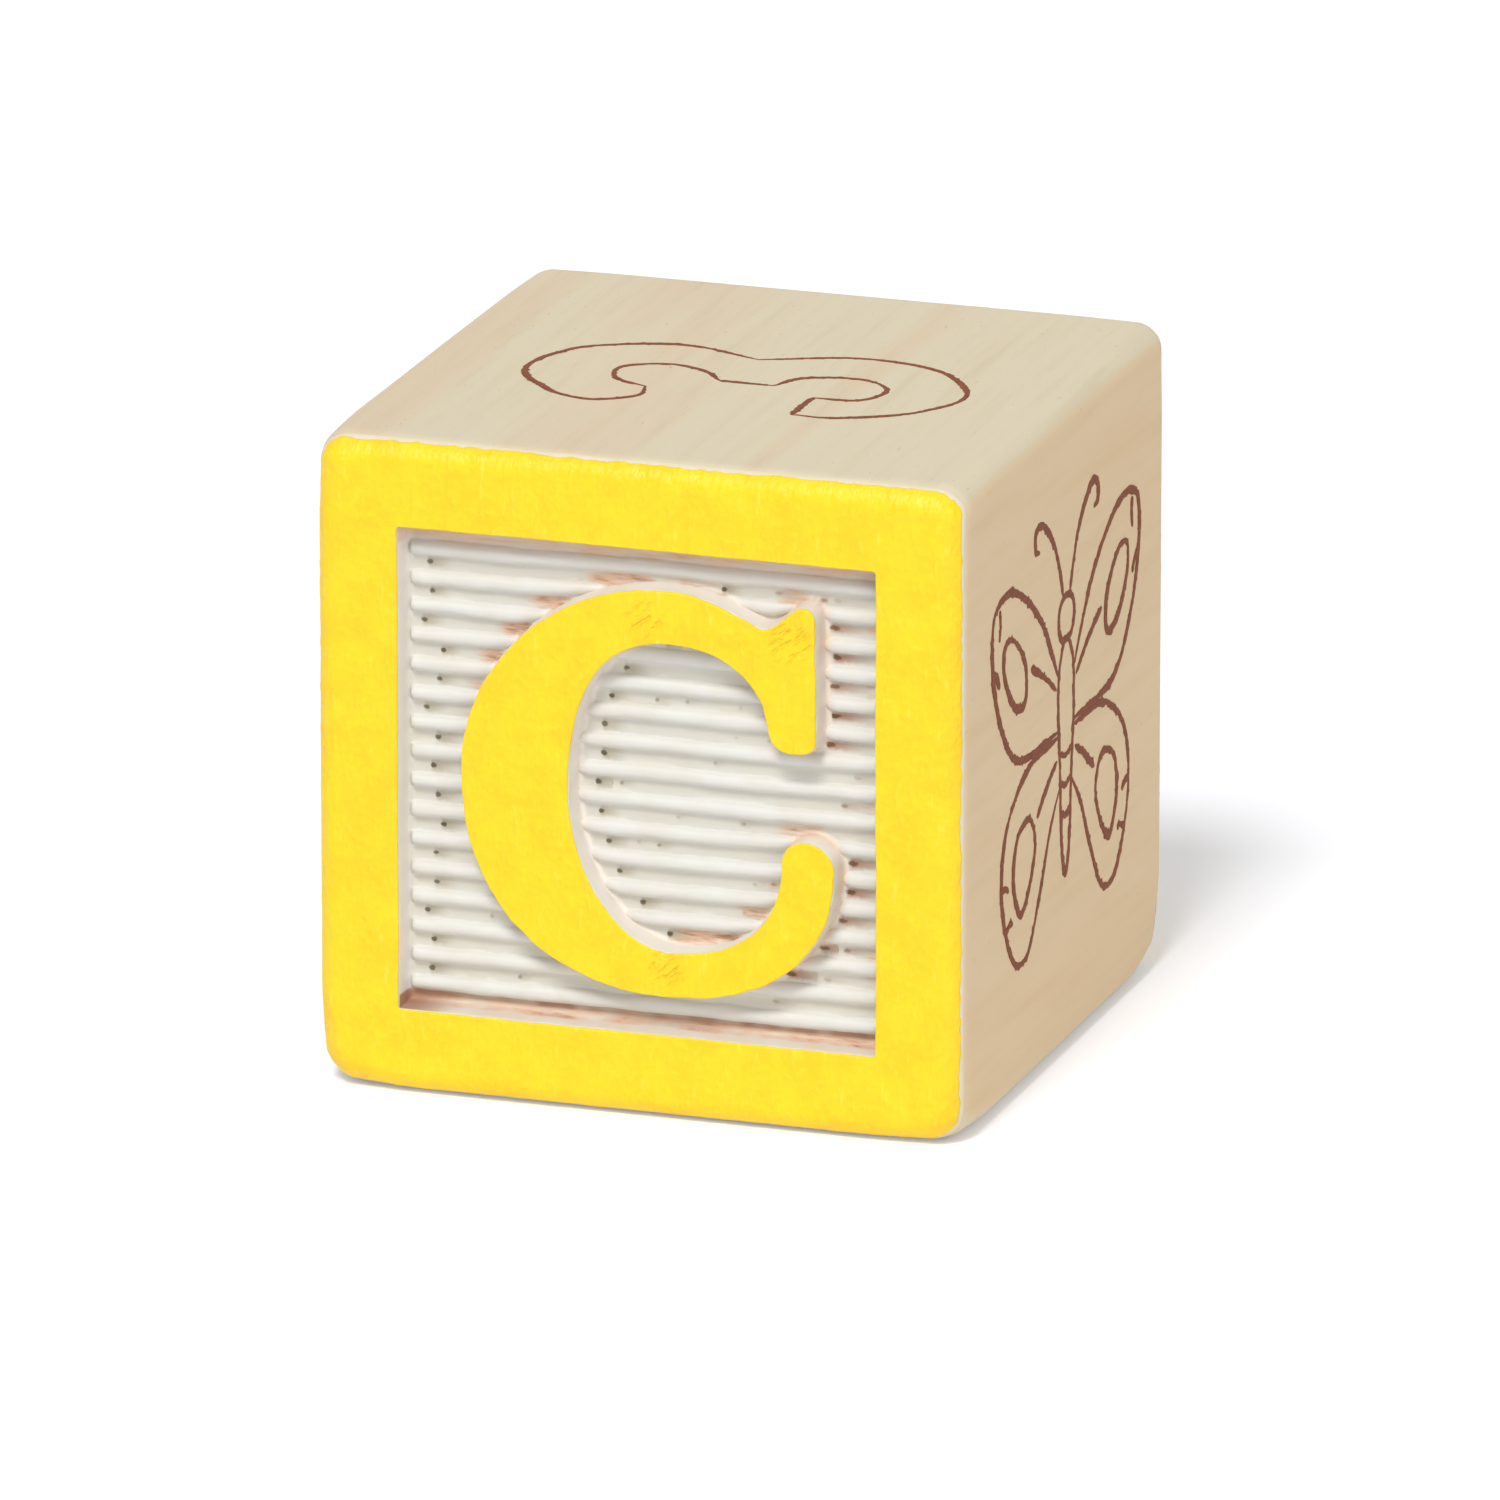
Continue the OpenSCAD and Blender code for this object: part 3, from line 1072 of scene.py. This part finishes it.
# Stretches of a groove where the ground missed the wood: the groove's number from the
# bottom, where the stretch starts and ends, and how bare it is
missed_stretches = [
    (15, -2.2, 0.5, 0.8), (14, -4.4, -2.2, 0.8), (13, -5.7, -4.2, 0.8), (12, -6.4, -5.3, 0.8),
    (11, -6.9, -6.2, 0.7), (10, -7.2, -6.7, 0.6), (15, 0.5, 3.4, 0.5), (15, 5.3, 6.3, 0.7),
    (7, 5.3, 6.8, 0.7), (5, 4.6, 5.2, 0.6), (4, 3.8, 4.9, 0.8), (3, 1.2, 3.9, 0.8),
]


def crossings(level):
    """Places where a level line leaves the letter on its right, from left to right."""
    places = []
    for a, b in zip(letter, np.roll(letter, -1, 0)):
        if (a[1] > level) != (b[1] > level):
            places.append(a[0] + (level - a[1]) * (b[0] - a[0]) / (b[1] - a[1]))
    return sorted(places)[1::2]


def pit_places(side):
    """Pits that the ground left in the grooves: place across and up, strength and size.
    They lie where a wall on the left kept the brush away, with a few small ones between."""
    draw = np.random.default_rng(7 + side)
    pits = []
    for number in range(1, rib_count):
        level = (number - rib_count / 2) * rib_pitch - rib_drop + 0.02
        starts = [-panel_half + draw.uniform(0.65, 1.5)]
        for edge in crossings(level):
            near = draw.uniform(0.35, 0.45) if edge > past_letter else draw.uniform(0.8, 1.3)
            starts.append(edge + near)
        for start in starts:
            if start < panel_half - 0.4:
                past = start > past_letter
                size = 1.2 if past else draw.uniform(1.1, 1.35)
                pits.append((start, level + 0.05 * past, draw.uniform(0.8, 1), size))
        for _ in range(4):
            place = draw.uniform(-8, 8.6)
            if min(abs(place - start) for start in starts) > 0.7:
                height = level + draw.uniform(-0.06, 0.06)
                pits.append((place, height, draw.uniform(0.1, 0.55), 0.9))
    return np.array(pits)


def pit_marks(x, z, allowed, side):
    """For each point, its place along and across the nearest pit and that pit's strength."""
    pits = pit_places(side)
    away = x[:, None] - pits[None, :, 0]
    same_row = np.abs(z[:, None] - pits[None, :, 1]) < rib_pitch / 2
    nearest = np.where(same_row & (away > -0.3), np.abs(away), np.inf).argmin(1)
    level, strength, size = pits[nearest, 1:].T
    beside = away[np.arange(len(x)), nearest]
    above = z - level
    crowded = (same_row & (away > -0.36) & (away < -0.22)).any(1)
    along = beside / size / (1 + 0.9 * (x > past_letter))
    near = ~crowded & (beside > -0.15) & (along < 0.9) & (np.abs(above) < 0.36)
    return columns(along, above / size, strength * allowed * near)


def missed_ground(x, number, side):
    """How bare the wood is along each groove, given by its number from the bottom."""
    bare = np.zeros(len(x))
    for place, start, end, strength in missed_stretches:
        along = window(x, start - 0.8, start + 0.5, end - 0.3, end + 0.5)
        bare = np.maximum(bare, strength * along * (number == place))
    picked = noise_at(9 + side, number * 3.3, 0) > -0.2
    right_end = 0.55 * smooth(x, panel_half - 1.1, panel_half - 0.5) * picked
    return np.maximum(bare, right_end)


def mark_panel(mesh, side):
    """Stores in the mesh where its white ground is thin, worn, warm or pitted, and where
    painted shade and painted light go on it.
    """
    front = turned(mesh_points(mesh), side)
    plan = front[:, [0, 2]]
    x, z = plan.T
    depth = front[:, 1] + ground_face
    border = np.abs(plan).max(1)
    in_panel = (border < panel_half + 0.05) & (depth > 0.05)
    level = (z + rib_drop) / rib_pitch + rib_count / 2
    number = np.round(level)
    offset = np.abs(level - number) * rib_pitch
    # Middle of each groove, which gets painted shade and the tint of thinner paint
    groove = 1 - smooth(offset, 0.12, 0.3)
    low = smooth(depth, 0.75, 0.95)
    near_letter = distance_to(letter, plan)
    from_side = panel_half - np.abs(x)
    from_left = panel_half + x
    from_top = panel_half - z
    last_rib = (0.5 - rib_count / 2) * rib_pitch - rib_drop
    under = last_rib - rib_width / 2 - z

    ragged = 0.75 + 0.25 * noise_at(77 + side, x / 0.5, 0)
    # A dark brown line under the last rib and in the lower left corner: bare wood with painted
    # shade
    line = window(under, -0.08, 0.02, 0.16, 0.3)
    corner = 1 - smooth(from_left, 0.3, 2.4)
    bare_and_shade_line = line * ragged + corner * smooth(under, 0, 0.05)
    lower_wall = smooth(-z - panel_half + 0.45, 0, 0.1)
    bare = missed_ground(x, number, side) * (1 - smooth(offset, 0.18, 0.42)) * low
    for mark in (
        0.55 * (1 - smooth(from_top, 0.5, 0.7)),
        (0.5 + 0.2 * ragged) * lower_wall * smooth(depth, 0.4, 0.75),
        0.5 * window(under, -0.05, 0.1, 0.15, 0.3),
    ):
        bare = np.maximum(bare, mark)
    warm = smooth(x, past_letter - 0.5, past_letter + 0.5)
    # The letter's walls: painted light on them, and the pink blush
    letter_wall = (1 - smooth(near_letter, 0.12, 0.3)) * smooth(depth, 0.03, 0.15)
    blush = np.maximum(letter_wall * (0.12 + 0.6 * warm), 1 - smooth(from_top, 0.58, 0.72))
    # The panel's left wall, brightened with painted light
    left_wall_light = 1 - smooth(from_left, 0.06, 0.16)
    # Painted shade at the foot of the panel's left and right walls
    foot = 0.5 * smooth(depth, 0.6, 1) * (from_side < 0.3)
    for name, values in {
        "bare": bare * in_panel,
        "bare_and_shade_line": np.clip(bare_and_shade_line, 0, 1) * in_panel,
        "blush": np.maximum(blush, 0.5 * lower_wall) * in_panel,
        "wall": np.maximum(letter_wall, left_wall_light) * in_panel,
        "deep": np.maximum(groove * low, foot) * in_panel,
        "warm": warm,
        "skirt": (1 - smooth(-front[:, 1], mid - 0.6, mid - 0.3)) * (border > plan_keep),
        "pit": pit_marks(x, z, in_panel & (near_letter > 0.05) & (depth > 0.5), side),
    }.items():
        store(mesh, name, values)


# Build the block

wood = wood_finish()
ink = ink_finish()
yellow = yellow_finish()
white = white_finish()

add_piece("wood_body", wood_shell(), wood, 60, "wood_block")
for label, side in (("front", 1), ("back", -1)):
    ground = united(ground_sheet(side), letter_body(side))
    mark_panel(ground, side)
    for name, mesh, material, slot, sharp, node in (
        ("_white_ground", ground, white, "white_paint", 60, "_ground_coat"),
        ("_yellow_frame", frame_coat(side), yellow, "yellow_paint", 70, "_frame_coat"),
        ("_yellow_letter", letter_coat(side), yellow, "yellow_paint", 70, "_letter_coat"),
    ):
        add_piece(label + name, mesh, material, sharp, label + node)

number_ink, picture_ink = 0.23, 0.3
for name, strokes, width, face, seed in (
    ("top_number", number_strokes(), number_ink, on_face(2, 1), 200),
    ("bottom_number", number_strokes(), number_ink, on_face(2, -1), 300),
    ("right_picture", butterfly(), picture_ink, on_face(0, 1), 400),
    ("left_picture", butterfly(), picture_ink, on_face(0, -1), 500),
):
    add_piece(name, ink_drawing(name, strokes, width, face, seed), ink, 80)


# Floor, light and camera

floor_half = 3.0
floor_glow = 0.2
sky_strength = 0.44


def add_floor():
    mesh = bpy.data.meshes.new("floor")
    corners = [(-1, -1), (1, -1), (1, 1), (-1, 1)]
    mesh.from_pydata([(x * floor_half, y * floor_half, 0) for x, y in corners], [], [(0, 1, 2, 3)])
    nodes = Finish("floor")
    nodes.look("Base Color", (0.94, 0.945, 0.99, 1))
    nodes.look("Roughness", 0.9)
    nodes.look("Specular IOR Level", 0.0)
    nodes.look("Emission Color", (1, 1, 1, 1))
    nodes.look("Emission Strength", nodes.seen(0, floor_glow))
    mesh.materials.append(nodes.material)
    new_object("floor", mesh)


def add_light(name, place, size, power):
    data = bpy.data.lights.new(name, "AREA")
    data.shape = "DISK"
    data.size = size
    data.energy = power
    light = new_object(name, data)
    light.location = place
    light.rotation_mode = "QUATERNION"
    light.rotation_quaternion = (-Vector(place)).to_track_quat("-Z", "Y")


def add_world():
    """White behind everything for the camera, with softer light on the object."""
    world = bpy.data.worlds.new("studio")
    bpy.context.scene.world = world
    nodes = Nodes(world)
    background = nodes.tree.nodes["Background"]
    nodes.set(background.inputs["Color"], (1, 1, 1, 1))
    nodes.set(background.inputs["Strength"], nodes.seen(sky_strength, 1))


def add_camera():
    """The camera, placed as the photo's was by the corners of the block."""
    data = bpy.data.cameras.new("camera")
    camera = new_object("camera", data)
    position = Vector((0.24283, -0.72109, 0.24094))
    right = Vector((0.947749, 0.319015, 0.000459))
    down = Vector((0.092810, -0.274348, -0.957141))
    forward = Vector((-0.305217, 0.907173, -0.289621))
    turn = Matrix((right, -down, -forward)).transposed().to_4x4()
    camera.matrix_world = Matrix.Translation(position) @ turn
    data.sensor_width = 36
    data.lens = 508.14
    data.clip_start = 0.01
    data.clip_end = 20
    bpy.context.scene.camera = camera


add_floor()
add_world()
add_light("key", (0, -1.0, 1.35), size=0.52, power=17.8)
add_light("fill", (1.0, -1.1, 0.35), size=0.8, power=4.0)
add_camera()
bpy.context.scene.view_settings.view_transform = "Standard"
